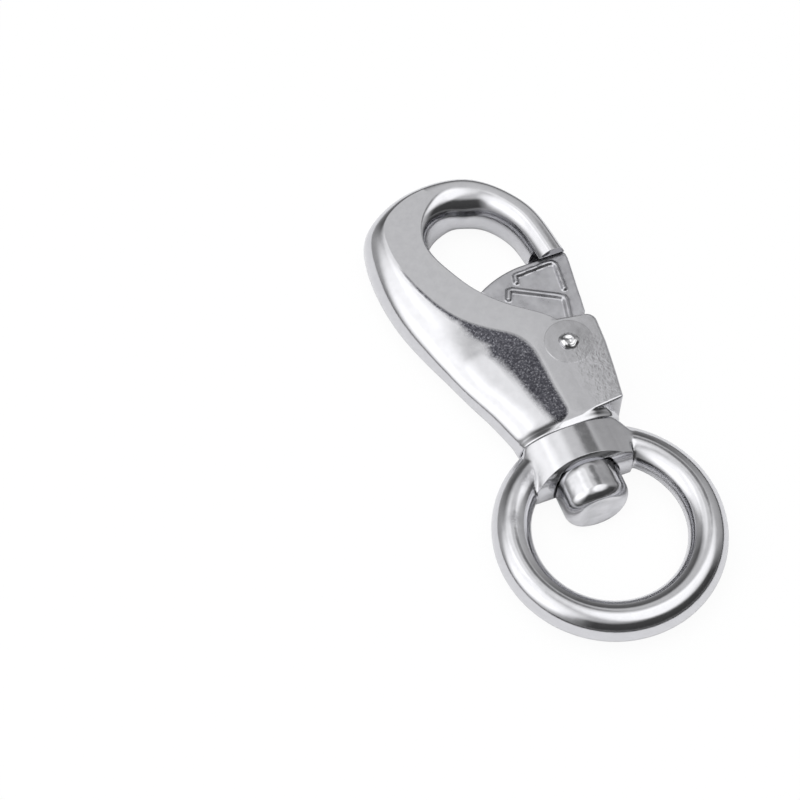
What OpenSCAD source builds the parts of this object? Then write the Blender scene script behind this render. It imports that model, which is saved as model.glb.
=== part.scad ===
// Swivel snap hook: a cast hook whose shank turns in the collar of an eye ring,
// closed by a sprung gate that swings inwards between two cheeks.
// The hook lies on its side. X runs from the spine to the gate, Y from the ring
// to the crown and Z up from the floor. The origin is under the swivel axis,
// where the shoulder of the shank faces the collar.

/* [Hook bar] */
// Thickness between the two flat faces
body_t = 10.8; // [10:0.1:11.4]
// Distance from the shoulder to the middle of the eye
eye_y = 43; // [42:0.5:50]
// Width of the bar's flat face beside the eye
spine_flat = 6; // [5:0.1:7]
// How far the round back of the spine stands past its flat face
spine_side = 4.8; // [4:0.1:6]
// How far the rounded inside of the eye stands past the flat face
eye_side = 3.5; // [2.5:0.1:3.8]
// How far the rounded outside of the arm stands past the flat face
arm_side = 1.7; // [1:0.1:2.5]
// Width of the flat face at the nose
nose_flat = 1.1; // [0.6:0.1:2]
// Slope at which the back of the shank falls away from its flat face
back_fall = 0.22; // [0.05:0.01:0.26]

/* [Shank] */
// Reach of the shoulder from the swivel axis on the spine side
neck_left = 8.9; // [8.5:0.1:10]
// Reach of the shoulder from the swivel axis on the gate side
neck_right = 10.1; // [9:0.1:10.5]
// How much lower than the flat face the shoulder lies, each side
neck_drop = 0.5; // [0.3:0.05:0.9]
// Radius of the rounding on the shoulder's edge
shoulder_round = 0.9; // [0.4:0.1:1.4]
// Diameter of the spigot that turns in the collar
spigot_d = 6.8; // [5.5:0.1:7.5]
// Diameter of the peened head
head_d = 11.8; // [10.5:0.1:12.2]
// Length of the peened head, dome included
head_l = 7.2; // [5:0.1:9]
// Height of the head's dome
dome_h = 1.6; // [0.8:0.1:2]
// Radius of the rounding between the head's side and its dome
head_round = 2.3; // [0.8:0.1:2.6]

/* [Cheeks] */
// Distance of the gate pin from the swivel axis
pin_x = 6.9; // [6.5:0.1:7.5]
// Distance of the gate pin from the shoulder
pin_y = 15.7; // [15.5:0.1:17]
// Radius of the raised round seat about the pin
seat_r = 4.4; // [4:0.1:4.8]
// Height of the raised seat and cheek above the flat face
seat_rise = 0.15; // [0.05:0.01:0.25]
// Distance of the cheek's lower edge from the shoulder
cheek_foot = 1.5; // [1.3:0.1:2.4]
// Radius of the cheek's outer corner
cheek_round = 1.9; // [1:0.1:2.5]

/* [Gate] */
// Thickness of the gate over its ribs
gate_t = 7; // [6:0.1:7.2]
// Height of the ribs above the gate's face
rib_h = 0.4; // [0.2:0.05:0.6]
// Width of the ribs
rib_w = 1.2; // [0.8:0.1:1.6]
// Distance from the pin to the gate's top edge
gate_r = 19.4; // [18:0.1:20]
// Radius of the gate's boss about the pin
boss_r = 4.6; // [4:0.1:5]
// Angle through which the gate opens
gate_swing = 30; // [20:1:31]

/* [Pin and spring] */
// Diameter of the gate pin
pin_d = 3; // [2.4:0.1:3.4]
// Diameter of the pin's staked ends
stake_d = 3.5; // [3.5:0.1:4.2]
// Height of the pin's staked ends
stake_h = 0.6; // [0.3:0.05:0.8]
// Diameter of the spring wire
wire_d = 0.7; // [0.5:0.05:0.8]
// Turns of the spring
spring_turns = 4; // [2:1:4]

/* [Swivel ring] */
// Inside diameter of the ring
ring_id = 26.6; // [24:0.2:32]
// Diameter of the ring's round bar
ring_bar = 6.8; // [6:0.1:8]
// Height of the collar
collar_h = 11.8; // [11.8:0.1:13]
// Width of the collar across the ring
collar_w = 19.6; // [19:0.2:22]
// Length of the collar along the swivel axis
collar_l = 6.9; // [6:0.1:8]
// How far the collar's face inside the ring is domed
collar_dome = 2; // [1:0.1:2.5]
// How far the collar's outer face lies inside the ring's outer edge
collar_flush = 2; // [1:0.1:2.5]
// Diameter of the recess that takes the head
recess_d = 14.4; // [12.8:0.1:15]
// Depth of the recess behind the rim of the collar
recess_h = 0; // [0:0.1:1]

/* [Clearances] */
// Radial clearance of the spigot and of the gate on its pin
run_gap = 0.08; // [0.04:0.01:0.1]
// Gap between the collar and the faces beside it
face_gap = 0.3; // [0.2:0.05:0.5]
// Gap between the gate and the cheeks, each side
side_gap = 0.1; // [0.05:0.01:0.2]
// Gap between the swinging gate and the hook round it
swing_gap = 0.3; // [0.2:0.05:0.5]

/* [Hidden] */
$fn = 64;

mid_z = collar_h / 2;
half_t = body_t / 2;
PIN = [pin_x, pin_y];
slot_t = gate_t + 2 * side_gap;
collar_out = -face_gap;
collar_in = collar_out - collar_l;
ring_r = (ring_id + ring_bar) / 2;
ring_y = collar_out - ring_r - ring_bar / 2 + collar_flush;
gate_top = pin_y + gate_r;
gate_edge = pin_x + 7.7;
corner_r = norm([gate_edge - pin_x, gate_r]);
nose_y = gate_top - 0.3;
tip_a = 121;
heel_a = 175;

// Sections round the bar from the shoulder over the crown to the nose. Each row
// gives the outer and the inner edge of the flat face, then how far the outer
// and the inner side of the bar stand past that face.
SECTIONS = [
    [-1, 0, 2.2, 0, neck_left - 1, neck_right - 2.2],
    [-0.4, 1.2, 2.8, 1.2, neck_left - 0.2, neck_right - 2.6],
    [1.4, 3, 8, 3, neck_left + 1.9, 0.8],
    [1.2, 8, 8, 8, neck_left + 3.3, 0.8],
    [1.1, 12.6, 8, 12.8, neck_left + 4.9, 0.8],
    [0.7, 17.6, 8, 18.6, neck_left + 5.9, 0.8],
    [-1.2, 20.8, 5.5, 22.2, neck_left + 5, 0.8],
    [-3.7, 22.5, 3, 24.3, 12, 0.8],
    [-6.5, 24.6, 0, 26.6, 10.1, 0.8],
    [-9.5, 27.5, -2.8, 29.5, spine_side + 3.4, 0.8],
    [-12, 31.7, -5.2, 32.7, spine_side + 2.3, 0.9],
    [-14, eye_y - 6.3, -7.2, eye_y - 6.3, spine_side + 1.2, 1],
    [-9.4 - spine_flat, eye_y - 0.8, -9.4, eye_y - 0.8, spine_side, 1],
    [-15.5, eye_y + 4.5, -9.2, eye_y + 3.4, spine_side - 0.6, eye_side - 2.2],
    [-14.2, eye_y + 8.8, -7.8, eye_y + 6.7, spine_side - 1.1, eye_side - 1],
    [-9, eye_y + 12, -5.8, eye_y + 9.2, spine_side - 1.9, eye_side + 0.3],
    [-4.1, eye_y + 12.8, -3.3, eye_y + 11.1, spine_side - 2.3, eye_side + 1.3],
    [-0.3, eye_y + 12.6, -0.3, eye_y + 11.8, spine_side - 2.5, eye_side + 1.9],
    [3.2, eye_y + 11.7, 2.9, eye_y + 10.9, arm_side + 0.5, eye_side + 1.4],
    [6.5, eye_y + 9.4, 6, eye_y + 8.7, arm_side + 0.2, eye_side + 0.5],
    [9.1, eye_y + 6.4, 8.3, eye_y + 5.7, arm_side, eye_side],
    [11.2, eye_y + 2.9, 10.2, eye_y + 2.4, arm_side, eye_side],
    [12.4, eye_y - 1.1, 11.3, eye_y - 1.4, arm_side, eye_side],
    [12.1 + nose_flat, nose_y, 12.1, nose_y, arm_side, eye_side]
];
BAR_STEPS = 3;
SIDE_STEPS = 5;

function cubic(a, b, c, d, t) =
    0.5 * (2 * b + (c - a) * t + (2 * a - 5 * b + 4 * c - d) * t * t
    + (3 * b - a - 3 * c + d) * t * t * t);

// Row at a place along a table, on a smooth curve through its rows
function row_at(rows, u) =
    let (last = len(rows) - 1, i = min(floor(u), last - 1), t = u - i)
    cubic(i > 0 ? rows[i - 1] : 2 * rows[0] - rows[1], rows[i], rows[i + 1],
        i + 2 <= last ? rows[i + 2] : 2 * rows[last] - rows[last - 1], t);

// Smooth step from 0 to 1 between two places
function ramp(a, b, x) =
    let (t = min(1, max(0, (x - a) / (b - a)))) t * t * (3 - 2 * t);

// How far a rounded edge draws in at a distance from the end
function end_inset(d, r) = d >= r ? 0 : r - sqrt(r * r - pow(r - max(0, d), 2));

// Place on the side of a section, from the flat's edge (0) to the middle (1)
function side_at(side, h, fall, t) =
    let (a = (1 - t) * (1 - t), b = 1.44 * t * (1 - t), c = t * t,
        shoulder = max(0.3 * h, h - fall * side))
    [(b + c) * side, a * h + b * shoulder] / (a + b + c);

// Outline of a section: offsets from the middle of its flat and heights
function section(flat, outer, inner, h, fall) =
    let (n = SIDE_STEPS,
        out = [for (i = [0:n]) side_at(outer, h, fall, i / n)],
        inn = [for (i = [0:n]) side_at(inner, h, 0, i / n)])
    concat([for (p = out) [-flat / 2 - p[0], p[1]]],
        [for (i = [n - 1:-1:0]) [-flat / 2 - out[i][0], -out[i][1]]],
        [for (i = [0:n]) [flat / 2 + inn[i][0], -inn[i][1]]],
        [for (i = [n - 1:-1:0]) [flat / 2 + inn[i][0], inn[i][1]]]);

function bar_ring(u) =
    let (r = row_at(SECTIONS, u),
        from = [r[0], r[1]],
        to = [r[2], r[3]],
        dir = (to - from) / norm(to - from),
        inset = u < 4 ? end_inset(r[1], shoulder_round) : 0,
        grow = u < 4 ? ramp(0.5, 3, r[1]) : 1,
        h = half_t - neck_drop * (1 - grow) - inset)
    [for (p = section(norm(to - from), r[4] - inset, r[5] - inset, h, back_fall * grow))
        let (q = (from + to) / 2 + p[0] * dir) [q[0], q[1], p[1]]];

// Closed skin through rings of equal length
module loft(rings, closed = false) {
    n = len(rings);
    m = len(rings[0]);
    skin = [for (i = [0:(closed ? n - 1 : n - 2)], j = [0:m - 1])
        let (a = i * m + j, b = i * m + (j + 1) % m,
            c = ((i + 1) % n) * m + (j + 1) % m, d = ((i + 1) % n) * m + j)
        each [[a, b, c], [a, c, d]]];
    caps = closed ? [] : [[for (j = [m - 1:-1:0]) j], [for (j = [0:m - 1]) (n - 1) * m + j]];
    polyhedron([for (r = rings) each r], concat(skin, caps), convexity = 6);
}

module bar() {
    count = (len(SECTIONS) - 1) * BAR_STEPS;
    loft([for (i = [0:count]) bar_ring(i / BAR_STEPS)]);
}

function polar(r, a) = [r * cos(a), r * sin(a)];

function arc(centre, r, from, to, n = 10) =
    [for (i = [0:n]) centre + polar(r, from + (to - from) * i / n)];

// Outer edge of the cheeks, from the foot up to the rounded corner
CHEEK_EDGE = concat([[pin_x + 4.4, cheek_foot + 0.6], [pin_x + 5.1, pin_y - 9.5]],
    [[pin_x + 6.2, pin_y - 2]],
    arc([pin_x + 6.5 - cheek_round, pin_y + 4.5 - cheek_round], cheek_round, 0, 80, 8));

// Outline of both cheeks: straight beside the back of the shank, with a rounded
// outer corner above the pin
module cheek_outline() {
    polygon(concat([[1.5, 2.6], [2.2, 1.7], [pin_x - 2, cheek_foot]], CHEEK_EDGE,
        [[pin_x - 0.7, pin_y + 5.4], [5.3, 21.9], [0.9, 17]]));
}

// Raised part of a cheek: a round seat about the pin and the panel beside it
module seat_outline() {
    translate(PIN) circle(seat_r);
    polygon(concat([[pin_x - 1.7, cheek_foot]], CHEEK_EDGE, [[pin_x - 1.7, pin_y + 4]]));
}

// Room between the cheeks: the fan that the gate sweeps and the housing below it
module slot_outline() {
    translate(PIN) circle(boss_r + swing_gap);
    polygon(concat([PIN], arc(PIN, gate_r + swing_gap, 85, tip_a + gate_swing + 2, 16),
        [PIN + polar(boss_r + swing_gap, heel_a + gate_swing + 5)]));
    polygon(concat([PIN], arc(PIN, corner_r + swing_gap, 40, 96, 14)));
    translate([pin_x - boss_r, pin_y - 9]) square([boss_r + 12, 15]);
}

module turned(points) {
    rotate([90, 0, 0]) rotate_extrude() polygon(points);
}

// Spigot and head, peened over in the collar's recess
module spigot() {
    seat = -collar_in - recess_h + face_gap;
    end = seat + head_l;
    turned(concat([[0, -1], [spigot_d / 2, -1], [spigot_d / 2, seat]],
        [[head_d / 2 - 0.6, seat], [head_d / 2, seat + 0.6]],
        arc([head_d / 2 - head_round, end - dome_h - 0.6], head_round, 0, 70, 7),
        [[head_d / 4, end - 0.2], [0, end]]));
}

module hook_body() {
    color("silver") translate([0, 0, mid_z]) difference() {
        union() {
            bar();
            linear_extrude(body_t, center = true) cheek_outline();
            linear_extrude(body_t + 2 * seat_rise, center = true) seat_outline();
            spigot();
        }
        linear_extrude(slot_t, center = true) slot_outline();
        translate([pin_x, pin_y, -body_t]) cylinder(d = pin_d, h = 2 * body_t);
    }
}

// Outline of the gate: a fan from the boss to a top edge that is round over the
// eye and straight under the nose
module gate_outline() {
    polygon(concat([PIN + polar(boss_r, heel_a)], arc(PIN, gate_r, tip_a, 94, 8),
        [[gate_edge, gate_top], [gate_edge + 0.1, gate_top - 1.5]],
        [[pin_x + 6.2, pin_y + 6], [pin_x + 5.8, pin_y - 2]],
        [[pin_x + 5.4, pin_y - 6.5], [pin_x - 0.5, pin_y - 6.5]]));
    translate(PIN) circle(boss_r);
}

module gate() {
    color("darkgray") translate([0, 0, mid_z]) difference() {
        union() {
            linear_extrude(gate_t - 2 * rib_h, center = true) gate_outline();
            linear_extrude(gate_t, center = true) {
                rib_outline(UPPER_PANEL);
                rib_outline(LOWER_PANEL);
                translate(PIN) circle(boss_r);
            }
        }
        translate([pin_x, pin_y, -gate_t]) cylinder(d = pin_d + 2 * run_gap, h = 2 * gate_t);
        linear_extrude(coil_h + wire_d + 0.3, center = true) spring_room();
    }
}

// Corners of the two ribbed panels, measured from the pin
UPPER_PANEL = [[-3.6, 16.4], [-3.3, 18.3], [4.6, 18.6], [5.6, 17.8], [4.6, 12.4]];
LOWER_PANEL = [[-6.4, 13.3], [-5.8, 15.4], [-4.8, 15.5], [3.7, 11.3], [4.6, 10.2], [3.3, 6.2]];

// Rib of even width inside an open row of corners
module rib_outline(panel) {
    for (i = [0:len(panel) - 2]) {
        a = PIN + panel[i];
        b = PIN + panel[i + 1];
        along = (b - a) / norm(b - a);
        into = [along[1], -along[0]] * rib_w;
        polygon([a, b, b + into, a + into]);
    }
}

// Pin, pressed in the cheeks, with a staked end on top and a flush end below
module gate_pin() {
    top = half_t + seat_rise;
    color("gainsboro") translate([pin_x, pin_y, mid_z]) {
        translate([0, 0, -top]) cylinder(d = pin_d, h = 2 * top);
        rotate_extrude() polygon(concat([[0, top]],
            arc([stake_d / 2 - stake_h, top], stake_h, 0, 90, 5), [[0, top + stake_h + 0.1]]));
    }
}

coil_r = pin_d / 2 + wire_d / 2 + 0.3;
coil_h = (spring_turns + 0.25) * (wire_d + 0.04);
COIL_FROM = -80;
COIL_TO = COIL_FROM + 85 + 360 * spring_turns;

// Room in the gate for the coil and for its two legs
module spring_room() {
    translate(PIN) circle(coil_r + wire_d / 2 + 0.3);
    polygon(concat([PIN], arc(PIN, boss_r + 1, 145, 252, 8)));
    translate(PIN + [coil_r - 2 * wire_d, 0]) square([3 * wire_d, leg_in + 0.5]);
}

leg_out = 4.2;
leg_in = 8;

function coil_ring(a) =
    let (z = coil_h * ((a - COIL_FROM) / (COIL_TO - COIL_FROM) - 0.5))
    [for (t = [0:45:315]) let (p = polar(coil_r + wire_d / 2 * cos(t), a))
        [p[0], p[1], z + wire_d / 2 * sin(t)]];

function along(a, d) = [for (p = coil_ring(a)) p + d * [-sin(a), cos(a), 0]];

// Torsion spring: one leg bears on the housing, the other inside the gate
module gate_spring() {
    steps = 17 * spring_turns + 4;
    coil = [for (i = [0:steps]) coil_ring(COIL_FROM + (COIL_TO - COIL_FROM) * i / steps)];
    color("slategray") translate([pin_x, pin_y, mid_z]) {
        loft(concat([along(COIL_FROM, -leg_out)], coil, [along(COIL_TO, leg_in)]));
    }
}

// Collar: an oval block as deep as the ring's bar and as long as the spigot, with
// a flat face towards the hook and a domed one inside the ring
module collar() {
    intersection() {
        translate([0, collar_out, 0]) rotate([90, 0, 0]) {
            linear_extrude(collar_l + collar_dome) {
                polygon([for (a = [0:7.5:352.5]) [collar_w / 2 * cos(a), mid_z * sin(a)]]);
            }
        }
        rotate([90, 0, 90]) linear_extrude(collar_w, center = true) {
            polygon(concat([[collar_out, -mid_z], [collar_out, mid_z]],
                [for (k = [1:-0.125:-1]) [collar_in - collar_dome * (1 - k * k), k * mid_z]]));
        }
        translate([0, ring_y, -mid_z]) cylinder(r = ring_r + ring_bar / 2, h = collar_h);
    }
}

module swivel_ring() {
    color("lightgray") translate([0, 0, mid_z]) difference() {
        union() {
            translate([0, ring_y, 0]) rotate_extrude() translate([ring_r, 0]) circle(d = ring_bar);
            collar();
        }
        translate([-collar_w, collar_out, -mid_z]) cube([2 * collar_w, ring_r, collar_h]);
        rotate([90, 0, 0]) cylinder(d = spigot_d + 2 * run_gap, h = 2 * collar_l);
        translate([0, collar_in + recess_h, 0]) {
            rotate([90, 0, 0]) cylinder(d = recess_d, h = collar_l);
        }
    }
}

hook_body();
gate();
gate_pin();
gate_spring();
swivel_ring();
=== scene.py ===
# Swivel snap hook: a polished casting with a sprung gate, turning in the collar of an eye ring.
import math

import bmesh
import bpy
import numpy as np
from mathutils.geometry import delaunay_2d_cdt
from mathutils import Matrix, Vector


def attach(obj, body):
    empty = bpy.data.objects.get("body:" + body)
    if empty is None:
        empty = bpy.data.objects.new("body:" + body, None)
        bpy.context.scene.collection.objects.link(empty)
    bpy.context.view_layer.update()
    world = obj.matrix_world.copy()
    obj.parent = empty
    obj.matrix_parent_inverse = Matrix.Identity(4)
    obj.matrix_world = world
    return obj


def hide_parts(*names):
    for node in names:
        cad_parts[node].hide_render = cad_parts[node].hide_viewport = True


bl_info = {
    "name": "Swivel Snap Hook",
    "version": (1, 0, 0),
    "blender": (4, 5, 0),
    "location": "View3D > Sidebar > Snap Hook",
    "description": "Builds a swivel snap hook with its finishes and a plain studio",
    "category": "Object",
}

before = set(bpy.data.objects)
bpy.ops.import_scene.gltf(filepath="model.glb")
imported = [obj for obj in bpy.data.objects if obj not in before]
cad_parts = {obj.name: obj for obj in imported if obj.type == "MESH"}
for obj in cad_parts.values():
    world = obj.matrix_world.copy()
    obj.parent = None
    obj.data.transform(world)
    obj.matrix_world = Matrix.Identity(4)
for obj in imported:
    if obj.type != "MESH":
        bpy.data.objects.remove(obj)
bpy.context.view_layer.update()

# Lengths are in mm, in the part's frame: X from spine to gate, Y from ring to crown, Z up
MM = 0.001
MID = 5.9                    # height of the parting plane above the floor
HALF = 5.4                   # half the thickness between the hook's flat faces
SLOT = 3.6                   # half the thickness of the room for the gate
SHOULDER_R = 0.4             # rounding of the bar's end beside the collar
PIN = np.array([6.9, 15.7])  # axis of the gate pin
PIN_R = 1.5
SEAT_R = 4.4                 # raised seat round the pin, and how far it leans up
SEAT_RISE = 0.05
GATE_HALF = 2.95             # half the gate's thickness without its ribs
GATE_BOSS = 4.6
RIB_RISE = 0.5
HEAD_R = 5.9                 # peened head: radius, its back's distance from the shoulder, length
HEAD_BACK = 7.5
HEAD_LENGTH = 7.2
SPIGOT_R = 3.4
COLLAR_H = 5.9               # half the collar's height and half its width
COLLAR_W = 9.9
COLLAR_OUT = -0.3            # its outer face, the rim of its inner face and the head's recess
COLLAR_RIM = -6.3
COLLAR_BULGE = 2.5
COLLAR_IN = -7.42
RING_R = 16.7                # centre line of the ring, radius of its bar, and its centre
RING_BAR = 3.4
RING_Y = -18.4


def linear(code):
    """sRGB hex to linear RGBA."""
    rgb = [int(code[i:i + 2], 16) / 255 for i in (1, 3, 5)]
    return tuple(c / 12.92 if c <= 0.04045 else ((c + 0.055) / 1.055) ** 2.4 for c in rgb) + (1.0,)


def hex_of(rgb):
    """A colour property back to sRGB hex."""
    srgb = [12.92 * c if c <= 0.0031308 else 1.055 * c ** (1 / 2.4) - 0.055 for c in rgb[:3]]
    return "#" + "".join(f"{round(255 * min(1, max(0, c))):02x}" for c in srgb)


def add(tree, kind, links=None, **settings):
    """Add a node, set its attributes and inputs, and link sockets into it."""
    node = tree.nodes.new(kind)
    for key, value in settings.items():
        if hasattr(node, key):
            setattr(node, key, value)
        else:
            node.inputs[key.replace("_", " ")].default_value = value
    for name, socket in (links or {}).items():
        tree.links.new(socket, node.inputs[name])
    return node


def ramp(node, stops):
    """Set the stops of a colour ramp to (position, grey or hex)."""
    band = node.color_ramp
    while len(band.elements) < len(stops):
        band.elements.new(0.5)
    for element, (place, value) in zip(band.elements, stops):
        element.position = place
        element.color = linear(value) if isinstance(value, str) else (value, value, value, 1.0)
    return node


def grid_mesh(name, points, wrap_u=False, wrap_v=True, cap=False):
    """Mesh over an (m, n, 3) grid of points in mm: quads between neighbours, wrapped where asked,
    and one polygon over each open end ring."""
    m, n = points.shape[:2]
    index = np.arange(m * n).reshape(m, n)
    rows = index if not wrap_u else np.vstack([index, index[:1]])
    cols = rows if not wrap_v else np.hstack([rows, rows[:, :1]])
    quads = np.stack([cols[:-1, :-1], cols[:-1, 1:], cols[1:, 1:], cols[1:, :-1]], -1).reshape(-1, 4)
    faces = quads.tolist()
    if cap:
        faces += [index[0][::-1].tolist(), index[-1].tolist()]
    return new_mesh(name, points.reshape(-1, 3), faces)


def new_mesh(name, points, faces):
    """A mesh object in metres from points in mm, with outward normals and merged doubles."""
    mesh = bpy.data.meshes.new(name)
    mesh.from_pydata((np.asarray(points) * MM).tolist(), [], faces)
    work = bmesh.new()
    work.from_mesh(mesh)
    bmesh.ops.remove_doubles(work, verts=work.verts, dist=1e-6)
    bmesh.ops.recalc_face_normals(work, faces=work.faces)
    work.to_mesh(mesh)
    work.free()
    obj = bpy.data.objects.new(name, mesh)
    bpy.context.scene.collection.objects.link(obj)
    return obj


def prism(name, outline, low, high, edge=0.0):
    """Prism of a closed outline between two heights, which may differ from point to point,
    its long edges rounded by a Bevel."""
    outline = np.asarray(outline, float)
    n = len(outline)
    points = np.vstack([np.column_stack([outline, np.broadcast_to(z, n)]) for z in (low, high)])
    sides = [[i, (i + 1) % n, n + (i + 1) % n, n + i] for i in range(n)]
    obj = new_mesh(name, points, sides + [list(range(n))[::-1], list(range(n, 2 * n))])
    if edge:
        bevel = obj.modifiers.new("rounded edge", "BEVEL")
        bevel.width = edge * MM
        bevel.segments = 4
        bevel.limit_method = "ANGLE"
        bevel.angle_limit = math.radians(50)
        settle(obj)
    return obj


def settle(obj):
    """Apply an object's modifiers to its mesh."""
    graph = bpy.context.evaluated_depsgraph_get()
    mesh = bpy.data.meshes.new_from_object(obj.evaluated_get(graph))
    obj.modifiers.clear()
    old = obj.data
    obj.data = mesh
    bpy.data.meshes.remove(old)


def combine(obj, tool, how):
    """Exact Boolean of obj with a tool, which is then deleted."""
    change = obj.modifiers.new(how, "BOOLEAN")
    change.operation = how
    change.solver = "EXACT"
    change.object = tool
    settle(obj)
    mesh = tool.data
    bpy.data.objects.remove(tool)
    bpy.data.meshes.remove(mesh)


def finish_piece(obj, material, body, nodes, angle=30):
    """Smooth by angle, give the finish, put the piece in its body and hide the CAD parts it stands in for."""
    obj.data.shade_smooth()
    obj.data.set_sharp_from_angle(angle=math.radians(angle))
    even = obj.modifiers.new("even shading", "WEIGHTED_NORMAL")
    even.keep_sharp = True
    settle(obj)
    obj.data.materials.clear()
    obj.data.materials.append(material)
    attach(obj, body)
    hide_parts(*nodes)
    return obj


def arc(centre, r, start, end, n=24):
    """Points on a circle between two angles in degrees."""
    a = np.radians(np.linspace(start, end, n))
    return np.column_stack([centre[0] + r * np.cos(a), centre[1] + r * np.sin(a)])


def polar(r, a):
    """Vector of a length at an angle in degrees."""
    return np.array([r * math.cos(math.radians(a)), r * math.sin(math.radians(a))])


def step(a, b, x):
    """Smooth step from 0 to 1 between a and b."""
    t = np.clip((x - a) / (b - a), 0, 1)
    return t * t * (3 - 2 * t)


# Sections round the bar: outer and inner edge of the flat face, then how far the
# outer and the inner side stand past it, as in the part's source
SECTIONS = np.array([
    [-1, 0, 2.2, 0, 7.9, 7.9],
    [-0.4, 1.2, 2.8, 1.2, 8.7, 7.5],
    [1.4, 3, 8, 3, 10.8, 0.8],
    [1.2, 8, 8, 8, 12.2, 0.8],
    [1.1, 12.6, 8, 12.8, 13.8, 0.8],
    [0.7, 17.6, 8, 18.6, 14.8, 0.8],
    [-1.2, 20.8, 5.5, 22.2, 13.9, 0.8],
    [-3.7, 22.5, 3, 24.3, 12, 0.8],
    [-6.5, 24.6, 0, 26.6, 10.1, 0.8],
    [-9.5, 27.5, -2.8, 29.5, 8.2, 0.8],
    [-12, 31.7, -5.2, 32.7, 7.1, 0.9],
    [-14, 36.7, -7.2, 36.7, 6, 1],
    [-15.4, 42.2, -9.4, 42.2, 4.8, 1],
    [-15.5, 47.5, -9.2, 46.4, 4.2, 1.3],
    [-14.2, 51.8, -7.8, 49.7, 3.7, 2.5],
    [-9, 55, -5.8, 52.2, 2.9, 3.8],
    [-4.1, 55.8, -3.3, 54.1, 2.5, 4.6],
    [-0.3, 55.6, -0.3, 54.8, 2.3, 5.0],
    [3.2, 54.7, 2.9, 53.9, 2.2, 4.9],
    [6.5, 52.4, 6, 51.7, 1.9, 4],
    [9.1, 49.4, 8.3, 48.7, 1.7, 3.5],
    [11.2, 45.9, 10.2, 45.4, 1.7, 3.5],
    [12.4, 41.9, 11.3, 41.6, 1.7, 3.5],
    [13.2, 34.8, 12.1, 34.8, 1.7, 3.5],
])


def along_rows(rows, u):
    """Catmull-Rom curve through the rows of a table at places u."""
    last = len(rows) - 1
    i = np.minimum(np.floor(u).astype(int), last - 1)
    t = (u - i)[:, None]
    table = np.vstack([2 * rows[0] - rows[1], rows, 2 * rows[-1] - rows[-2]])
    a, b, c, d = table[i], table[i + 1], table[i + 2], table[i + 3]
    return 0.5 * (2 * b + (c - a) * t + (2 * a - 5 * b + 4 * c - d) * t ** 2
                  + (3 * b - a - 3 * c + d) * t ** 3)


def eased(rows, width):
    """Rows smoothed along the bar by a bell-shaped mean, which evens out the curvature."""
    reach = int(3 * width)
    bell = np.exp(-0.5 * (np.arange(-reach, reach + 1) / width) ** 2)
    bell /= bell.sum()
    padded = np.vstack([2 * rows[0] - rows[reach:0:-1], rows, 2 * rows[-1] - rows[-2:-reach - 2:-1]])
    return np.column_stack([np.convolve(padded[:, k], bell, "valid") for k in range(rows.shape[1])])


def side_points(side, height, fall, t):
    """Rational quadratic from the flat's edge over a sloping shoulder to the parting plane."""
    a, b, c = (1 - t) ** 2, 1.44 * t * (1 - t), t ** 2
    shoulder = np.maximum(0.3 * height, height - fall * side)
    whole = a + b + c
    return (b + c) * side / whole, (a * height + b * shoulder) / whole


def back_points(side, height, fall, t):
    """Cubic Bezier from the flat's edge: it falls at a slope, then rounds over to the parting
    plane, the more fully the further the side reaches."""
    full = 0.55 + 0.018 * (side - 4.8)
    x1, x2 = 0.55 * side, side
    z1, z2 = height - 0.55 * side * fall, full * height
    x = 3 * (1 - t) ** 2 * t * x1 + 3 * (1 - t) * t ** 2 * x2 + t ** 3 * side
    z = (1 - t) ** 3 * height + 3 * (1 - t) ** 2 * t * z1 + 3 * (1 - t) * t ** 2 * z2
    return x, z


def bar_skin():
    """Closed skin of the bar: at each place u the flat face joins two bulged sides, and the
    lower half mirrors the upper. The end at the shoulder draws in on a quarter circle. Beyond
    the shoulder the rows are eased, and the inner side's direction more so, against ripples."""
    u = np.concatenate([np.linspace(0, 1, 22)[:-1], np.linspace(1, 23, 400)])
    rows = along_rows(SECTIONS, u)
    soft = eased(rows, 7)
    keep = (1 - step(4.0, 6.0, u))[:, None]
    rows = rows * keep + soft * (1 - keep)
    start, end = rows[:, :2], rows[:, 2:4]
    flat = np.linalg.norm(end - start, axis=1)
    way = (end - start) / flat[:, None]
    turn = np.unwrap(np.arctan2(way[:, 1], way[:, 0]))[:, None]
    calm = turn * keep + eased(turn, 16) * (1 - keep)
    into = np.hstack([np.cos(calm), np.sin(calm)])
    near = np.clip(rows[:, 1], 0, SHOULDER_R)
    curve = SHOULDER_R - np.sqrt(np.maximum(0, SHOULDER_R ** 2 - (SHOULDER_R - near) ** 2))
    inset = np.where(u < 4, curve, 0)
    grow = np.where(u < 4, step(0.3, 1.3, rows[:, 1]), 1)
    h = HALF - 0.25 * (1 - grow) - inset
    t = (np.linspace(0, 1, 19) ** 1.15)[None, :]
    ox, oz = back_points((rows[:, 4] - inset)[:, None], h[:, None], 0.2 * grow[:, None], t)
    ix, iz = side_points((rows[:, 5] - inset)[:, None], h[:, None], np.zeros((len(u), 1)), t)
    z = np.hstack([oz, -oz[:, -2::-1], -iz, iz[:, -2::-1]])
    outer = start[:, None, :] - np.hstack([ox, ox[:, -2::-1]])[..., None] * way[:, None, :]
    inner = end[:, None, :] + np.hstack([ix, ix[:, -2::-1]])[..., None] * into[:, None, :]
    plan = np.concatenate([outer, inner], 1)
    points = np.concatenate([plan, (z + MID)[..., None]], -1)
    return grid_mesh("hook_bar", points, cap=True)


CHEEK_EDGE = np.vstack([
    [[11.3, 2.1], [11.65, 4.2], [12.0, 6.2], [12.6, 10.1], [13.1, 13.7]],
    arc([PIN[0] + 4.6, PIN[1] + 2.6], 1.9, 0, 80, 12),
])


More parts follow.
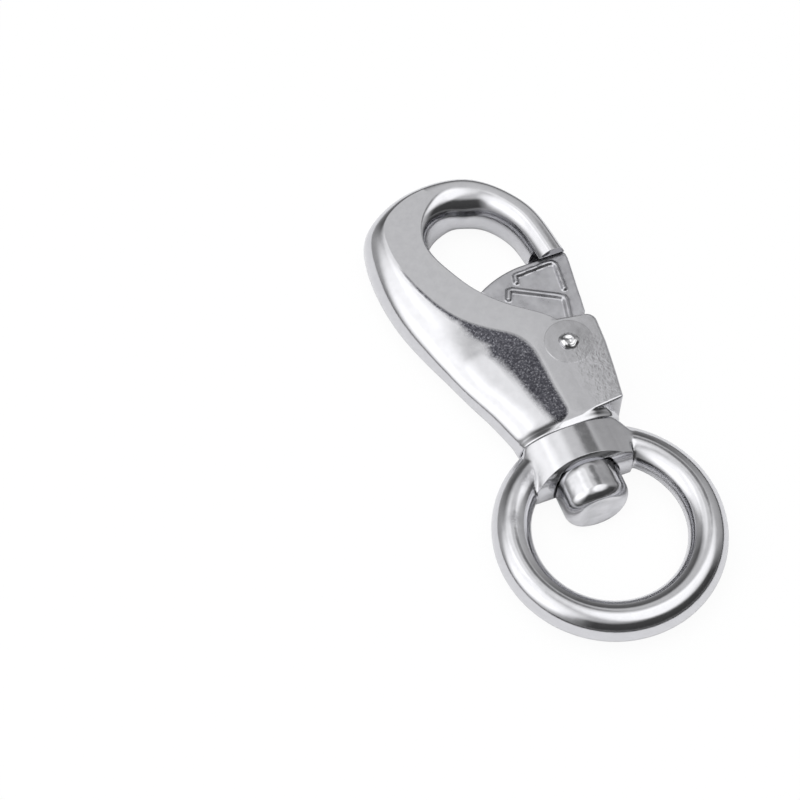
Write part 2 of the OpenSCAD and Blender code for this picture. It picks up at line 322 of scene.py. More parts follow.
def hook_casting():
    """Bar, cheeks and their seats, which lean up to the upper left, in one casting, less the
    room for the gate and the pin's hole."""
    skin = bar_skin()
    cheeks = np.vstack([[[1.5, 2.6], [2.2, 1.7], [4.9, 1.5]], CHEEK_EDGE,
                        [[6.2, 21.1], [5.3, 21.9], [0.9, 17]]])
    combine(skin, prism("cheeks", cheeks, MID - HALF, MID + HALF, 0.42), "UNION")
    seat = arc(PIN, SEAT_R, 0, 356, 90)
    lift = HALF + SEAT_RISE * ((seat - PIN) @ polar(1 / SEAT_R, 150) + 1.1)
    combine(skin, prism("seats", seat, MID - lift, MID + lift), "UNION")
    fan = np.vstack([[PIN], arc(PIN, 19.7, 85, 153, 40), [PIN + polar(4.9, 210)]])
    nose = np.vstack([[PIN], arc(PIN, 21.16, 40, 96, 40)])
    house = PIN + np.array([[-4.6, -9], [12, -9], [12, 6], [-4.6, 6]])
    for name, outline in (("fan", fan), ("nose", nose), ("house", house)):
        combine(skin, prism(name, outline, MID - SLOT, MID + SLOT), "DIFFERENCE")
    combine(skin, prism("pin bore", arc(PIN, PIN_R, 0, 354, 60), -1, 13), "DIFFERENCE")
    place_marks(skin)
    return skin


def place_marks(skin):
    """Store on each point how far the cast skin was left unpolished, a share that the material also
    paints dark as a painted dark reflection: a band of given width beside the flat face's crease,
    fading to its left and at both ends."""
    x, y, z = points_of(skin).T
    crease = np.interp(y, SECTIONS[2:13, 1], SECTIONS[2:13, 0])
    wide = np.interp(y, [2.7, 6.7, 11.2, 15.2, 18.2, 23.2, 26.7, 31.7, 36.7, 41, 43],
                     [4.4, 5.5, 6.4, 7.4, 8.3, 5.2, 1.7, 1.1, 0.9, 0.6, 0.3])
    fade = np.minimum(2.2, 0.6 * wide)
    # this band is pitted cast skin, and its darkness is a painted dark reflection
    side = step(0, fade, x - crease + wide) * (1 - step(-0.5, 0.0, x - crease))
    pitted_dark_share = side * step(0.9, 2.0, y) * (1 - step(38, 43, y)) * step(0.5, 1.5, abs(z - MID)) * (x < 3)
    for face in skin.data.polygons:
        if abs(face.normal.z) > 0.9995:
            pitted_dark_share[list(face.vertices)] = 0
    store_pits_and_painted_dark(skin, pitted_dark_share)


def store_pits_and_painted_dark(obj, share):
    """Keep each point's share of pitted cast skin as an attribute, which the material reads and paints dark (on the
    bar a painted dark reflection).
    """
    mark = obj.data.attributes.new("pits_and_painted_dark", "FLOAT", "POINT")
    mark.data.foreach_set("value", share.astype(np.float32))


def peened_head():
    """Spigot and head: a turned profile about the swivel axis, its head pressed a little out of
    round by two low waves, and its outer end leaning, because it was struck aslant."""
    seat, r = HEAD_BACK, HEAD_R
    end = seat + HEAD_LENGTH
    side = [[0, -1], [SPIGOT_R, -1], [SPIGOT_R, seat], [r - 0.6, seat], [r - 0.15, seat + 0.2],
            [r, seat + 0.7], [r, seat + 1.4]]
    bend = arc([r - 2.5, end - 2.2], 2.5, 0, 68, 18)
    tip = [[2.6, end - 0.32], [1.3, end - 0.18], [0, end - 0.14]]
    profile = np.vstack([side, bend, tip])
    a = np.linspace(0, 2 * np.pi, 97)[:-1]
    pr, py = profile[:, :1], profile[:, 1:]
    head = step(seat - 0.1, seat + 0.5, py)
    out = step(seat + 1.5, end - 0.5, py)
    pr = pr * (1 + head * (0.012 * np.cos(2 * a + 0.7) + 0.008 * np.cos(3 * a)))
    lean = out * (0.35 * np.sin(a + 0.5) + 0.12 * np.sin(3 * a + 1.0)) * pr / r
    y = 0.6 * lean - (py - 0.15 * out)
    points = np.stack([pr * np.cos(a), y, MID + pr * np.sin(a)], -1)
    return grid_mesh("peened_head", points)


def gate_leaf():
    """Gate: a fan-shaped plate whose faces rise into two soft ribs and a boss round the pin.
    Height = base plus a smooth step of the distance to the rib's path, on a triangulated plan.
    The rim is rounded: it draws in by the inset as it climbs from the side to the face."""
    edge = np.vstack([
        [PIN + polar(GATE_BOSS, 175)], arc(PIN, 19.4, 121, 94, 24),
        [[14.35, 35.1], [14.55, 34.95], [14.7, 34.6], [14.7, 33.6], [14.5, 32.1], [14.2, 30.1],
         [13.8, 27.5], [13.4, 24.5], [13.0, 22.0], [12.7, 21.7], [12.7, 13.7], [12.3, 9.2], [6.4, 9.2]],
        arc(PIN, GATE_BOSS, 250, 180, 12)])
    # each rib's path and half its width
    ribs = [([[3.75, 31.9], [4.05, 33.3], [10.6, 33.75], [11.5, 33.6], [11.9, 32.9], [11.35, 27.6]], 0.46),
            ([[1.05, 29.1], [1.7, 30.6], [2.4, 30.65], [9.6, 26.6], [10.55, 25.9], [10.6, 25.2],
              [9.7, 21.3]], 0.56)]
    dense = resample(edge, 0.22)
    inner = outline_inset(dense, 0.28)
    gx, gy = np.meshgrid(np.arange(-4, 15.5, 0.17), np.arange(8.5, 35.6, 0.17))
    inside = np.column_stack([gx.ravel(), gy.ravel()])
    inside = inside[within(inside, inner, 0.1)]
    plan = np.vstack([inner, inside])
    n = len(inner)
    result = delaunay_2d_cdt([Vector(p) for p in plan], [(i, (i + 1) % n) for i in range(n)], [], 1, 1e-5)
    flat = np.array([[v.x, v.y] for v in result[0]])
    tris = [list(f) for f in result[2]]
    rise = np.zeros(len(flat))
    for path, half in ribs:
        d = distance(flat, np.array(path))
        rise = np.maximum(rise, RIB_RISE * (1 - step(0.25 * half, half + 0.15, d)))
    boss = 1 - step(GATE_BOSS - 0.3, GATE_BOSS, np.linalg.norm(flat - PIN, axis=1))
    top = GATE_HALF + np.maximum(rise, 0.55 * boss)
    k = len(flat)
    match = np.array([np.argmin(((flat - p) ** 2).sum(1)) for p in inner])
    points = [np.column_stack([flat, MID + top]), np.column_stack([flat, MID - top])]
    faces = tris + [[k + i for i in reversed(t)] for t in tris]
    rims = []
    for sign in (1, -1):
        for draw, z in ((0.0, 2.68), (0.08, 2.87)):
            rims.append(sum(len(part) for part in points) + np.arange(n))
            points.append(np.column_stack([outline_inset(dense, draw), np.full(n, MID + sign * z)]))
    for a_ring, b_ring in ((rims[2], rims[0]), (rims[0], rims[1]), (rims[1], match),
                           (rims[3], rims[2]), (match + k, rims[3])):
        a_next, b_next = np.roll(a_ring, -1), np.roll(b_ring, -1)
        faces += np.column_stack([a_ring, a_next, b_next, b_ring]).tolist()
    leaf = new_mesh("gate_leaf", np.vstack(points), faces)
    combine(leaf, prism("pin hole", arc(PIN, PIN_R + 0.08, 0, 354, 60), -1, 13), "DIFFERENCE")
    leg = PIN + np.array([[0.75, 0], [2.85, 0], [2.85, 8.5], [0.75, 8.5]])
    for room in (arc(PIN, 2.8, 0, 354, 60), np.vstack([[PIN], arc(PIN, 5.6, 145, 252, 20)]), leg):
        combine(leaf, prism("spring room", room, MID - 2.1, MID + 2.1), "DIFFERENCE")
    return leaf


def resample(outline, gap):
    """Points at even spacing round a closed outline."""
    closed = np.vstack([outline, outline[:1]])
    run = np.concatenate([[0], np.cumsum(np.linalg.norm(np.diff(closed, axis=0), axis=1))])
    count = int(run[-1] / gap)
    s = np.linspace(0, run[-1], count + 1)[:-1]
    return np.column_stack([np.interp(s, run, closed[:, k]) for k in (0, 1)])


def outline_inset(outline, d):
    """Outline moved inwards by d along its averaged normals."""
    ahead = np.roll(outline, -2, 0) - np.roll(outline, 2, 0)
    ahead /= np.linalg.norm(ahead, axis=1)[:, None]
    area = (outline[:, 0] * np.roll(outline[:, 1], -1) - outline[:, 1] * np.roll(outline[:, 0], -1)).sum()
    inward = np.column_stack([-ahead[:, 1], ahead[:, 0]]) * (1 if area > 0 else -1)
    return outline + d * inward


def within(points, outline, margin):
    """Which points lie inside an outline and at least margin from it, by crossing count."""
    x, y = points[:, :1], points[:, 1:]
    a, b = outline, np.roll(outline, -1, 0)
    cross = (a[:, 1] > y) != (b[:, 1] > y)
    climb = np.where(b[:, 1] == a[:, 1], 1e-9, b[:, 1] - a[:, 1])
    at = a[:, 0] + (y - a[:, 1]) * (b[:, 0] - a[:, 0]) / climb
    odd = ((cross & (x < at)).sum(1) % 2).astype(bool)
    return odd & (distance(points, np.vstack([outline, outline[:1]])) > margin)


def distance(points, path):
    """Distance from points to an open path of straight pieces."""
    best = np.full(len(points), 1e9)
    for a, b in zip(path[:-1], path[1:]):
        way = b - a
        t = np.clip(((points - a) @ way) / (way @ way + 1e-12), 0, 1)
        best = np.minimum(best, np.linalg.norm(points - a - t[:, None] * way, axis=1))
    return best


def pin_rivet():
    """Pin: a shaft, and on top a staked dome whose rim and height wander with the angle."""
    top, foot = MID + HALF + 0.15, MID - HALF - 0.15
    shaft = [[0, foot], [PIN_R - 0.08, foot], [PIN_R, foot + 0.08], [PIN_R, top - 0.02]]
    dome = [[1.66, top + 0.02], [1.72, top + 0.16], [1.6, top + 0.4], [1.3, top + 0.6], [1.0, top + 0.7],
            [0.75, top + 0.68], [0.5, top + 0.6], [0.25, top + 0.56], [0, top + 0.56]]
    table = np.vstack([shaft, dome])
    run = np.concatenate([np.arange(4), np.linspace(4, len(table) - 1, 40)])
    profile = np.column_stack([np.interp(run, np.arange(len(table)), table[:, k]) for k in (0, 1)])
    a = np.linspace(0, 2 * np.pi, 73)[:-1]
    r, z = profile[:, :1], profile[:, 1:]
    up = step(top, top + 0.2, z)
    wide = 1 + up * (0.06 * np.cos(2 * a + 1.1) + 0.05 * np.cos(3 * a - 0.4) + 0.03 * np.cos(5 * a))
    waves = 0.16 * np.cos(a - 2.4) + 0.1 * np.cos(2 * a - 0.5) + 0.08 * np.cos(3 * a + 1.9) - 0.1
    bump = np.minimum(up * np.minimum(r / 1.2, 1) * waves, 0.1)
    points = np.stack([PIN[0] + r * wide * np.cos(a), PIN[1] + r * wide * np.sin(a), z + bump], -1)
    return grid_mesh("staked_pin", points)


def ring_casting():
    """Ring: a torus joined to an oval column, evened where they meet as a casting's fillets are.
    Away from the collar each point is drawn back to the torus itself. Then the flat outer face,
    the domed inner face, the bore and the head's recess are cut, and two pitted places are marked."""
    a = np.linspace(0, 2 * np.pi, 241)[:-1][:, None]
    b = np.linspace(0, 2 * np.pi, 73)[:-1][None, :]
    hoop = RING_R + RING_BAR * np.cos(b)
    height = MID + RING_BAR * np.sin(b) + 0 * a
    torus = np.stack([hoop * np.cos(a), RING_Y + hoop * np.sin(a), height], -1)
    ring = grid_mesh("swivel_ring_casting", torus, wrap_u=True)
    combine(ring, collar_column(), "UNION")
    even = ring.modifiers.new("even", "REMESH")
    even.mode = "VOXEL"
    even.voxel_size = 0.23 * MM
    settle(ring)
    co = points_of(ring)
    group = ring.vertex_groups.new(name="fillet")
    reach = np.abs(co[:, 0])
    near = step(5.2, 7.5, reach) * (1 - step(12, 14, reach)) * step(-14, -11, co[:, 1])
    for level in range(1, 11):
        chosen = np.nonzero(np.round(near * 10) == level)[0].tolist()
        if chosen:
            group.add(chosen, level / 10, "REPLACE")
    soft = ring.modifiers.new("fillet", "SMOOTH")
    soft.factor = 0.5
    soft.iterations = 14
    soft.vertex_group = "fillet"
    settle(ring)
    co = points_of(ring)
    plan = co[:, :2] - [0, RING_Y]
    out = np.linalg.norm(plan, axis=1, keepdims=True)
    core = np.hstack([plan / out * RING_R + [0, RING_Y], np.full((len(co), 1), MID)])
    ray = co - core
    exact = core + RING_BAR * ray / np.linalg.norm(ray, axis=1, keepdims=True)
    pull = np.maximum(step(11.5, 14, np.abs(co[:, 0])), 1 - step(-15, -12.5, co[:, 1]))[:, None]
    set_points(ring, co * (1 - pull) + exact * pull)
    combine(ring, box_tool("front", [-30, COLLAR_OUT, -5], [30, 12, 20]), "DIFFERENCE")
    combine(ring, dome_tool(), "DIFFERENCE")
    combine(ring, turned_tool("bore", SPIGOT_R + 0.08, 1, -12), "DIFFERENCE")
    combine(ring, turned_tool("recess", HEAD_R + 0.3, COLLAR_IN, -14), "DIFFERENCE")
    x, y = points_of(ring)[:, :2].T
    beside = 0.42 * np.exp(-((x + 9.6) ** 2 + (y + 5.5) ** 2) / 5.0)
    store_pits_and_painted_dark(ring, beside + 0.35 * np.exp(-((x + 15.2) ** 2 + (y + 12) ** 2) / 1.5))
    return ring


def points_of(obj):
    """Points of a mesh in mm."""
    co = np.empty(len(obj.data.vertices) * 3)
    obj.data.vertices.foreach_get("co", co)
    return co.reshape(-1, 3) / MM


def set_points(obj, co):
    """Move the points of a mesh to places in mm."""
    obj.data.vertices.foreach_set("co", (co * MM).ravel())
    obj.data.update()


def collar_column():
    """Oval column along Y: at each x its half height follows an ellipse that runs out in a taper
    towards the bar on the gate side. Its inner end draws back into the bar at both sides, and its
    outer end follows the ring's outer edge."""
    x = np.linspace(-9.8, 11.8, 120)
    h = COLLAR_H * np.sqrt(np.maximum(0.0, 1 - np.abs((x - 0.1) / COLLAR_W) ** 2.1))
    taper = 4.4 - 1.6 * (x - 7) / 4.8
    h = np.where(x > 7, np.maximum(h, taper), np.maximum(h, 1.8))
    q = np.linspace(0, 1, 24)[None, :]
    low = -9.25 + 4.2 * np.where(x > 0, step(8.2, 9.6, x), step(8.6, 11.2, -x))
    lim = np.minimum(0.6, RING_Y + np.sqrt((RING_R + RING_BAR) ** 2 - x ** 2))
    lim = lim - 3.2 * step(8.0, 11.8, x) - 2.0 * step(8.2, 9.8, -x)
    y_up = low[:, None] + (lim - low)[:, None] * q
    z_up = h[:, None] + 0 * q
    points = np.stack([x[:, None] + 0 * np.hstack([y_up, y_up]), np.hstack([y_up, y_up[:, ::-1]]),
                       MID + np.hstack([z_up, -z_up[:, ::-1]])], -1)
    return grid_mesh("collar", points, cap=True)


def dome_tool():
    """Room inside the ring beside the collar's inner face: y below a parabola over the height."""
    k = np.linspace(-1.15, 1.15, 61)
    y = COLLAR_RIM - COLLAR_BULGE * np.maximum(0, 1 - k ** 2)
    z = MID + COLLAR_H * k
    row = np.vstack([np.column_stack([y, z]), [[-13, z[-1]], [-13, z[0]]]])
    x = np.array([-9.2, 9.2])[:, None]
    points = np.stack([x + 0 * row[:, 0], row[:, 0] + 0 * x, row[:, 1] + 0 * x], -1)
    return grid_mesh("dome", points, cap=True)


def box_tool(name, low, high):
    """Box between two corners."""
    outline = [[low[0], low[1]], [high[0], low[1]], [high[0], high[1]], [low[0], high[1]]]
    return prism(name, outline, low[2], high[2])


def turned_tool(name, r, y0, y1):
    """Cylinder of radius r about the swivel axis between two distances."""
    a = np.linspace(0, 2 * np.pi, 97)[:-1]
    ends = np.array([y0, y1])[:, None]
    points = np.stack([r * np.cos(a) + 0 * ends, ends + 0 * a, MID + r * np.sin(a) + 0 * ends], -1)
    return grid_mesh(name, points, cap=True)


def metal(name, colour, roughness):
    """New metal material: itself, its tree, its shader and the Object coordinates."""
    material = bpy.data.materials.new(name)
    material.use_nodes = True
    tree = material.node_tree
    shader = tree.nodes["Principled BSDF"]
    shader.inputs["Base Color"].default_value = linear(colour)
    shader.inputs["Metallic"].default_value = 1.0
    shader.inputs["Roughness"].default_value = roughness
    place = add(tree, "ShaderNodeTexCoord").outputs["Object"]
    return material, tree, shader, place


def per_mm(size):
    """Noise scale whose features are about size mm across, on coordinates in metres."""
    return 1.0 / (size * MM)


def rounded(tree):
    """Normal with its sharp edges worn to a radius of 0.15 mm."""
    return add(tree, "ShaderNodeBevel", Radius=0.15 * MM, samples=4).outputs["Normal"]


def polished_cast_steel(colour, roughness):
    """Stainless steel 316, investment cast and tumbled: bright and slightly wavy with fine handling
    marks, pitted where the cast skin is kept and painted dark there as a stand-in for a dark reflection,
    and finely ground on the cheeks' right side."""
    material, tree, shader, place = metal("tumbled_cast_stainless", colour, roughness)
    wave = add(tree, "ShaderNodeTexNoise", {"Vector": place}, Scale=per_mm(5.0), Detail=2.0, Roughness=0.5)
    fine = add(tree, "ShaderNodeTexNoise", {"Vector": place}, Scale=per_mm(0.5), Detail=3.0, Roughness=0.6)
    scuff = add(tree, "ShaderNodeTexNoise", {"Vector": place}, Scale=per_mm(1.6), Detail=5.0, Roughness=0.65)
    gloss = add(tree, "ShaderNodeMapRange", {"Value": scuff.outputs["Fac"]}, From_Min=0.35, From_Max=0.7,
                To_Min=roughness * 0.85, To_Max=roughness * 1.25)
    tone = ramp(add(tree, "ShaderNodeValToRGB", {"Fac": scuff.outputs["Fac"]}),
                [(0.35, hex_mix(colour, 0.97)), (0.65, colour)])
    swell = add(tree, "ShaderNodeBump", {"Height": wave.outputs["Fac"], "Normal": rounded(tree)},
                Strength=0.25, Distance=0.1 * MM)
    grain = add(tree, "ShaderNodeBump", {"Height": fine.outputs["Fac"], "Normal": swell.outputs["Normal"]},
                Strength=0.2, Distance=0.01 * MM)

    # cast skin with a painted dark reflection: its edge breaks up over about 1 mm, and its pits are about 0.4 mm
    skin = add(tree, "ShaderNodeAttribute", attribute_name="pits_and_painted_dark")
    edge = add(tree, "ShaderNodeTexNoise", {"Vector": place}, Scale=per_mm(0.8), Detail=4.0, Roughness=0.7)
    vary = add(tree, "ShaderNodeMapRange", {"Value": edge.outputs["Fac"]},
               From_Min=0.3, From_Max=0.7, To_Min=0.8, To_Max=1.2)
    mixed = add(tree, "ShaderNodeMath", {0: skin.outputs["Fac"], 1: vary.outputs["Result"]}, operation="MULTIPLY")
    mask = add(tree, "ShaderNodeMapRange", {"Value": mixed.outputs["Value"]}, From_Min=0.05, From_Max=0.9)
    pits = add(tree, "ShaderNodeTexNoise", {"Vector": place}, Scale=per_mm(0.36), Detail=3.0, Roughness=0.7)
    # painted dark reflection: where the mask is, the colour turns dark grey, standing in for the dark band that the
    # bar's side reflects
    dark = ramp(add(tree, "ShaderNodeValToRGB", {"Fac": pits.outputs["Fac"]}),
                [(0.36, "#38383e"), (0.55, "#56565c"), (0.68, "#94949a")])
    paint = tree.nodes.new("ShaderNodeMix")
    paint.data_type = "RGBA"
    tree.links.new(mask.outputs["Result"], paint.inputs[0])
    tree.links.new(tone.outputs["Color"], paint.inputs[6])
    tree.links.new(dark.outputs["Color"], paint.inputs[7])
    dull = add(tree, "ShaderNodeMapRange", {"Value": mask.outputs["Result"]}, To_Min=0.0, To_Max=0.16)
    matt = add(tree, "ShaderNodeMath", {0: gloss.outputs["Result"], 1: dull.outputs["Result"]}, operation="ADD")
    deep = add(tree, "ShaderNodeMath", {0: pits.outputs["Fac"], 1: mask.outputs["Result"]}, operation="MULTIPLY")
    pitted = add(tree, "ShaderNodeBump", {"Height": deep.outputs["Value"], "Normal": grain.outputs["Normal"]},
                 Strength=0.8, Distance=0.09 * MM)

    # ground panel: swirls of about 1 mm, drawn coarser than real grinding so that they show
    where = add(tree, "ShaderNodeSeparateXYZ", {"Vector": place})
    swirl = add(tree, "ShaderNodeTexNoise", {"Vector": place}, Scale=per_mm(1.1), Detail=3.0, Roughness=0.6,
                Distortion=1.5)
    height = swirl.outputs["Fac"]
    for axis, start, end in (("X", 5.0, 8.0), ("Y", 17.0, 12.0), ("Y", 0.5, 2.0)):
        share = add(tree, "ShaderNodeMapRange", {"Value": where.outputs[axis]},
                    From_Min=start * MM, From_Max=end * MM)
        part = add(tree, "ShaderNodeMath", {0: height, 1: share.outputs["Result"]}, operation="MULTIPLY")
        height = part.outputs["Value"]
    ground = add(tree, "ShaderNodeBump", {"Height": height, "Normal": pitted.outputs["Normal"]},
                 Strength=0.55, Distance=0.05 * MM)
    tree.links.new(paint.outputs[2], shader.inputs["Base Color"])
    tree.links.new(matt.outputs["Value"], shader.inputs["Roughness"])
    tree.links.new(ground.outputs["Normal"], shader.inputs["Normal"])
    return material


def hex_mix(code, share):
    """A colour darkened to a share of its sRGB value."""
    return "#" + "".join(f"{round(int(code[i:i + 2], 16) * share):02x}" for i in (1, 3, 5))


def satin_cast_steel(colour, roughness):
    """Stainless gate as cast and tumbled: satin, with a fine sand grain of about 0.3 mm."""
    material, tree, shader, place = metal("satin_cast_stainless", colour, roughness)
    sand = add(tree, "ShaderNodeTexNoise", {"Vector": place}, Scale=per_mm(0.35), Detail=3.0, Roughness=0.6)
    cloud = add(tree, "ShaderNodeTexNoise", {"Vector": place}, Scale=per_mm(2.5), Detail=3.0, Roughness=0.55)
    tone = ramp(add(tree, "ShaderNodeValToRGB", {"Fac": cloud.outputs["Fac"]}),
                [(0.35, hex_mix(colour, 0.9)), (0.65, colour)])
    gloss = add(tree, "ShaderNodeMapRange", {"Value": cloud.outputs["Fac"]}, From_Min=0.3, From_Max=0.7,
                To_Min=roughness * 0.85, To_Max=roughness * 1.2)
    grain = add(tree, "ShaderNodeBump", {"Height": sand.outputs["Fac"], "Normal": rounded(tree)},
                Strength=0.4, Distance=0.02 * MM)
    tree.links.new(tone.outputs["Color"], shader.inputs["Base Color"])
    tree.links.new(gloss.outputs["Result"], shader.inputs["Roughness"])
    tree.links.new(grain.outputs["Normal"], shader.inputs["Normal"])
    return material


def bright_steel(name, colour, roughness, size, depth):
    """Worked steel such as a staked pin, a hammered head or drawn wire: dents of a size in mm."""
    material, tree, shader, place = metal(name, colour, roughness)
    dents = add(tree, "ShaderNodeTexNoise", {"Vector": place}, Scale=per_mm(size), Detail=2.0, Roughness=0.5)
    tone = ramp(add(tree, "ShaderNodeValToRGB", {"Fac": dents.outputs["Fac"]}),
                [(0.3, hex_mix(colour, 0.9)), (0.6, colour)])
    bump = add(tree, "ShaderNodeBump", {"Height": dents.outputs["Fac"]}, Strength=0.6, Distance=depth * MM)
    tree.links.new(tone.outputs["Color"], shader.inputs["Base Color"])
    tree.links.new(bump.outputs["Normal"], shader.inputs["Normal"])
    return material


def colour_choice(name, about, code):
    """Colour property with an sRGB hex default."""
    return bpy.props.FloatVectorProperty(name=name, description=about, subtype="COLOR", size=4, min=0, max=1,
                                         default=linear(code))


def share_choice(name, about, value):
    """Property from 0 to 1."""
    return bpy.props.FloatProperty(name=name, description=about, subtype="FACTOR", min=0, max=1, default=value)


class HookFinish(bpy.types.PropertyGroup):
    body_colour: colour_choice("Body colour", "Colour of the polished casting", "#cfcfd2")
    gate_colour: colour_choice("Gate colour", "Colour of the satin gate", "#c6c6ca")
    polish: share_choice("Polish", "Roughness of the polished casting", 0.13)
    satin: share_choice("Satin", "Roughness of the satin gate", 0.3)


class HookStudio(bpy.types.PropertyGroup):
    lens: bpy.props.FloatProperty(name="Lens", description="Focal length in millimetres", min=20, max=200, default=85)
    floor_size: bpy.props.FloatProperty(name="Floor", description="Width of the floor", unit="LENGTH",
                                        min=0.5, max=20, default=6)
    floor_colour: colour_choice("Floor colour", "Colour of the pale floor", "#dededf")


class SNAPHOOK_OT_body(bpy.types.Operator):
    """Build the hook's casting and its peened head"""
    bl_idname = "snaphook.body"
    bl_label = "Hook Body"

    def execute(self, context):
        look = context.scene.snaphook_finish
        steel = polished_cast_steel(hex_of(look.body_colour), look.polish)
        finish_piece(hook_casting(), steel, "hook", ["hook_body"], 28)
        head = bright_steel("peened_stainless", hex_of(look.body_colour), 0.16, 3.0, 0.12)
        finish_piece(peened_head(), head, "hook", ["hook_body"], 40)
        return {"FINISHED"}


class SNAPHOOK_OT_gate(bpy.types.Operator):
    """Build the gate, its staked pin and the finish of its spring"""
    bl_idname = "snaphook.gate"
    bl_label = "Gate"

    def execute(self, context):
        look = context.scene.snaphook_finish
        satin = satin_cast_steel(hex_of(look.gate_colour), look.satin)
        finish_piece(gate_leaf(), satin, "gate", ["gate"], 40)
        staked = bright_steel("staked_pin_steel", "#dcdcde", 0.12, 0.9, 0.1)
        finish_piece(pin_rivet(), staked, "hook", ["gate_pin"], 50)
        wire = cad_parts["gate_spring"]
        wire.data.materials.clear()
        wire.data.materials.append(bright_steel("drawn_spring_wire", "#8e8e92", 0.3, 0.3, 0.01))
        return {"FINISHED"}


class SNAPHOOK_OT_ring(bpy.types.Operator):
    """Build the swivel ring with its collar"""
    bl_idname = "snaphook.ring"
    bl_label = "Swivel Ring"

    def execute(self, context):
        look = context.scene.snaphook_finish
        steel = polished_cast_steel(hex_of(look.body_colour), look.polish)
        steel.name = "tumbled_ring_stainless"
        finish_piece(ring_casting(), steel, "ring", ["swivel_ring"], 30)
        return {"FINISHED"}


class SNAPHOOK_OT_studio(bpy.types.Operator):
    """Set the camera, the pale floor and the soft light"""
    bl_idname = "snaphook.studio"
    bl_label = "Studio"

    def execute(self, context):
        look = context.scene.snaphook_studio
        scene = context.scene
        scene.view_settings.view_transform = "Standard"
        data = bpy.data.cameras.new("photo_camera")
        data.lens = look.lens
        data.sensor_width = 36
        data.clip_start = 0.01
        camera = bpy.data.objects.new("photo_camera", data)
        camera.location = (-0.0838, -0.1374, 0.2945)
        camera.rotation_euler = (math.radians(30), 0, math.radians(-21))
        scene.collection.objects.link(camera)
        scene.camera = camera
        pale_floor(look)
        soft_sky(scene)
        soft_light("top_softbox", (-0.2, -0.1, 0.9), 0.7, 0.7, 6.0)
        return {"FINISHED"}


def pale_floor(look):
    """Floor plane at z = 0: pale paper in reflections, and to the camera nearly all white, with a
    small share of the paper so that its shadow shows."""
    s = look.floor_size / 2
    floor = new_mesh("floor", np.array([[-s, -s, 0], [s, -s, 0], [s, s, 0], [-s, s, 0]]) / MM, [[0, 1, 2, 3]])
    material = bpy.data.materials.new("pale_paper")
    material.use_nodes = True
    tree = material.node_tree
    tree.nodes.clear()
    paper = add(tree, "ShaderNodeBsdfDiffuse", Color=linear(hex_of(look.floor_colour)))
    white = add(tree, "ShaderNodeEmission", Color=(1, 1, 1, 1), Strength=1.0)
    path = add(tree, "ShaderNodeLightPath")
    share = add(tree, "ShaderNodeMath", {0: path.outputs["Is Camera Ray"]}, operation="MULTIPLY")
    share.inputs[1].default_value = 0.94
    mix = add(tree, "ShaderNodeMixShader",
              {0: share.outputs["Value"], 1: paper.outputs["BSDF"], 2: white.outputs["Emission"]})
    add(tree, "ShaderNodeOutputMaterial", {"Surface": mix.outputs["Shader"]})
    floor.data.materials.append(material)


def facing(tree, way, aim, start, end, strength=1.0, smooth=False):
    """Share of the studio near a direction: the cosine to it, mapped from start..end to 0..strength."""
    dot = add(tree, "ShaderNodeVectorMath", {0: way}, operation="DOT_PRODUCT")
    dot.inputs[1].default_value = aim
    share = add(tree, "ShaderNodeMapRange", {"Value": dot.outputs["Value"]}, From_Min=start, From_Max=end,
                To_Max=strength)
    share.interpolation_type = "SMOOTHSTEP" if smooth else "LINEAR"
    return share.outputs["Result"]


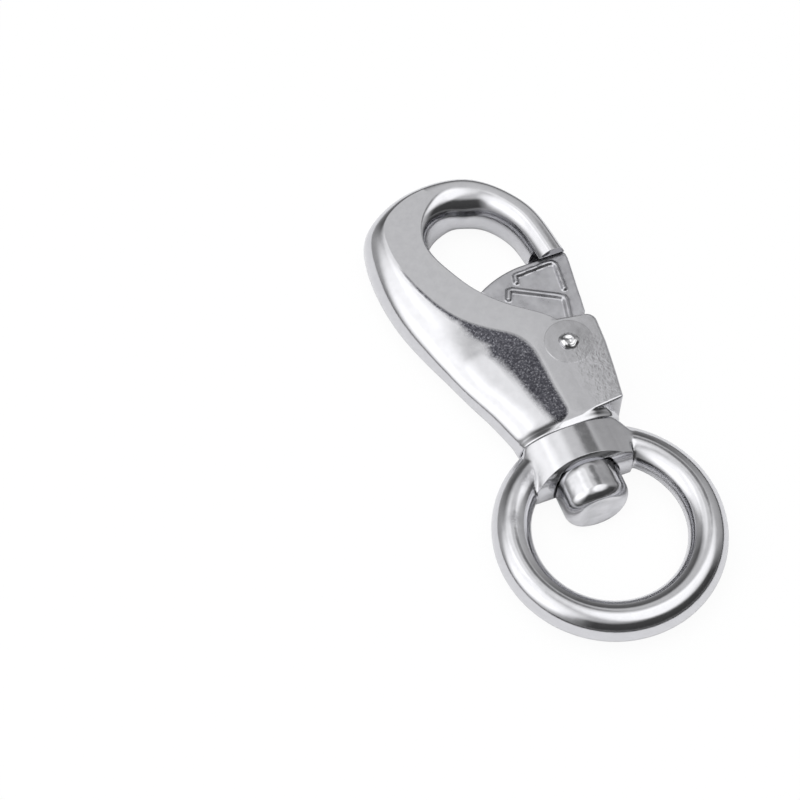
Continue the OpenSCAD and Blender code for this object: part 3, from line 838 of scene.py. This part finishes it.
def soft_sky(scene):
    """Studio seen in the metal, white to the camera itself: a grey room that is dark near the table's
    edge except ahead, dark behind the camera, ahead and in one narrow slit, plus soft lights."""
    world = bpy.data.worlds.new("studio_room")
    scene.world = world
    world.use_nodes = True
    tree = world.node_tree
    tree.nodes.clear()
    way = add(tree, "ShaderNodeTexCoord").outputs["Generated"]
    height = add(tree, "ShaderNodeSeparateXYZ", {"Vector": way}).outputs["Z"]
    flat = add(tree, "ShaderNodeVectorMath", {0: way}, operation="MULTIPLY")
    flat.inputs[1].default_value = (1, 1, 0)
    around = add(tree, "ShaderNodeVectorMath", {0: flat.outputs["Vector"]}, operation="NORMALIZE").outputs["Vector"]

    # brightness of the room over the height, with and without the dark edge of the table
    upper = [(0.35, 0.50), (0.80, 0.66), (1.0, 0.72)]
    edged, clear = (ramp(add(tree, "ShaderNodeValToRGB", {"Fac": height}), stops + upper).outputs["Color"]
                    for stops in ([(0.0, 0.05), (0.10, 0.06), (0.17, 0.42)], [(0.0, 0.42)]))
    level = tree.nodes.new("ShaderNodeMix")
    tree.links.new(facing(tree, around, (-0.25, 0.97, 0), 0.35, 0.75), level.inputs[0])
    tree.links.new(edged, level.inputs[2])
    tree.links.new(clear, level.inputs[3])

    # dark parts: each a share of the directions times a ramp over the height
    dark = facing(tree, way, (0.42, 0.41, 0.81), 0.987, 0.995, smooth=True)
    for aim, start, end, stops in (
            ((0.309, -0.951, 0), 0.30, 0.62, [(0.12, 0.0), (0.22, 1.0), (0.74, 1.0), (0.86, 0.0)]),
            ((0.2, 0.98, 0), 0.62, 0.88, [(0.10, 0.0), (0.20, 0.55), (0.48, 0.85), (0.60, 0.9), (0.70, 0.0)])):
        belt = ramp(add(tree, "ShaderNodeValToRGB", {"Fac": height}), stops).outputs["Color"]
        zone = add(tree, "ShaderNodeMath", {0: facing(tree, around, aim, start, end), 1: belt}, operation="MULTIPLY")
        dark = add(tree, "ShaderNodeMath", {0: dark, 1: zone.outputs["Value"]}, operation="MAXIMUM").outputs["Value"]
    keep = add(tree, "ShaderNodeMapRange", {"Value": dark}, To_Min=1.0, To_Max=0.13).outputs["Result"]
    total = add(tree, "ShaderNodeMath", {0: level.outputs[0], 1: keep}, operation="MULTIPLY").outputs["Value"]

    # soft lights: direction, cosines where each begins and is full, strength
    for aim, start, end, strength in (
            ((-0.70, 0.06, 0.71), 0.77, 0.95, 0.9), ((-0.90, -0.08, 0.42), 0.84, 0.96, 0.35),
            ((0.35, -0.13, 0.93), 0.86, 0.96, 0.9), ((0.24, 0.46, 0.855), 0.90, 0.97, 0.14),
            ((-0.2, 0.41, 0.89), 0.95, 0.985, 0.5)):
        glow = facing(tree, way, aim, start, end, strength, smooth=True)
        total = add(tree, "ShaderNodeMath", {0: total, 1: glow}, operation="ADD").outputs["Value"]
    white = add(tree, "ShaderNodeBackground", Color=(1, 1, 1, 1), Strength=1.0)
    room = add(tree, "ShaderNodeBackground", {"Color": total}, Strength=1.0)
    path = add(tree, "ShaderNodeLightPath")
    mix = add(tree, "ShaderNodeMixShader",
              {0: path.outputs["Is Camera Ray"], 1: room.outputs["Background"], 2: white.outputs["Background"]})
    add(tree, "ShaderNodeOutputWorld", {"Surface": mix.outputs["Shader"]})


def soft_light(name, place, wide, high, strength):
    """Area lamp aimed at the object, for the floor's light and shadow: the camera and the
    reflections don't see it."""
    data = bpy.data.lights.new(name, "AREA")
    data.shape = "RECTANGLE"
    data.size = wide
    data.size_y = high
    data.energy = strength
    lamp = bpy.data.objects.new(name, data)
    lamp.location = place
    lamp.rotation_euler = (Vector((0, 0.01, 0.005)) - Vector(place)).to_track_quat("-Z", "Y").to_euler()
    lamp.visible_camera = False
    lamp.visible_glossy = False
    bpy.context.scene.collection.objects.link(lamp)


class SNAPHOOK_PT_panel(bpy.types.Panel):
    bl_idname = "SNAPHOOK_PT_panel"
    bl_label = "Snap Hook"
    bl_space_type = "VIEW_3D"
    bl_region_type = "UI"
    bl_category = "Snap Hook"

    def draw(self, context):
        column = self.layout.column()
        for key in ("body_colour", "gate_colour", "polish", "satin"):
            column.prop(context.scene.snaphook_finish, key)
        for key in ("lens", "floor_size", "floor_colour"):
            column.prop(context.scene.snaphook_studio, key)
        for name in ("body", "gate", "ring", "studio"):
            column.operator(f"snaphook.{name}")


CLASSES = (HookFinish, HookStudio, SNAPHOOK_OT_body, SNAPHOOK_OT_gate, SNAPHOOK_OT_ring,
           SNAPHOOK_OT_studio, SNAPHOOK_PT_panel)


def register():
    for item in CLASSES:
        bpy.utils.register_class(item)
    bpy.types.Scene.snaphook_finish = bpy.props.PointerProperty(type=HookFinish)
    bpy.types.Scene.snaphook_studio = bpy.props.PointerProperty(type=HookStudio)


def unregister():
    del bpy.types.Scene.snaphook_studio
    del bpy.types.Scene.snaphook_finish
    for item in reversed(CLASSES):
        bpy.utils.unregister_class(item)


def main():
    """Build the whole scene in order."""
    register()
    bpy.ops.snaphook.body()
    bpy.ops.snaphook.gate()
    bpy.ops.snaphook.ring()
    bpy.ops.snaphook.studio()


if __name__ == "__main__":
    main()
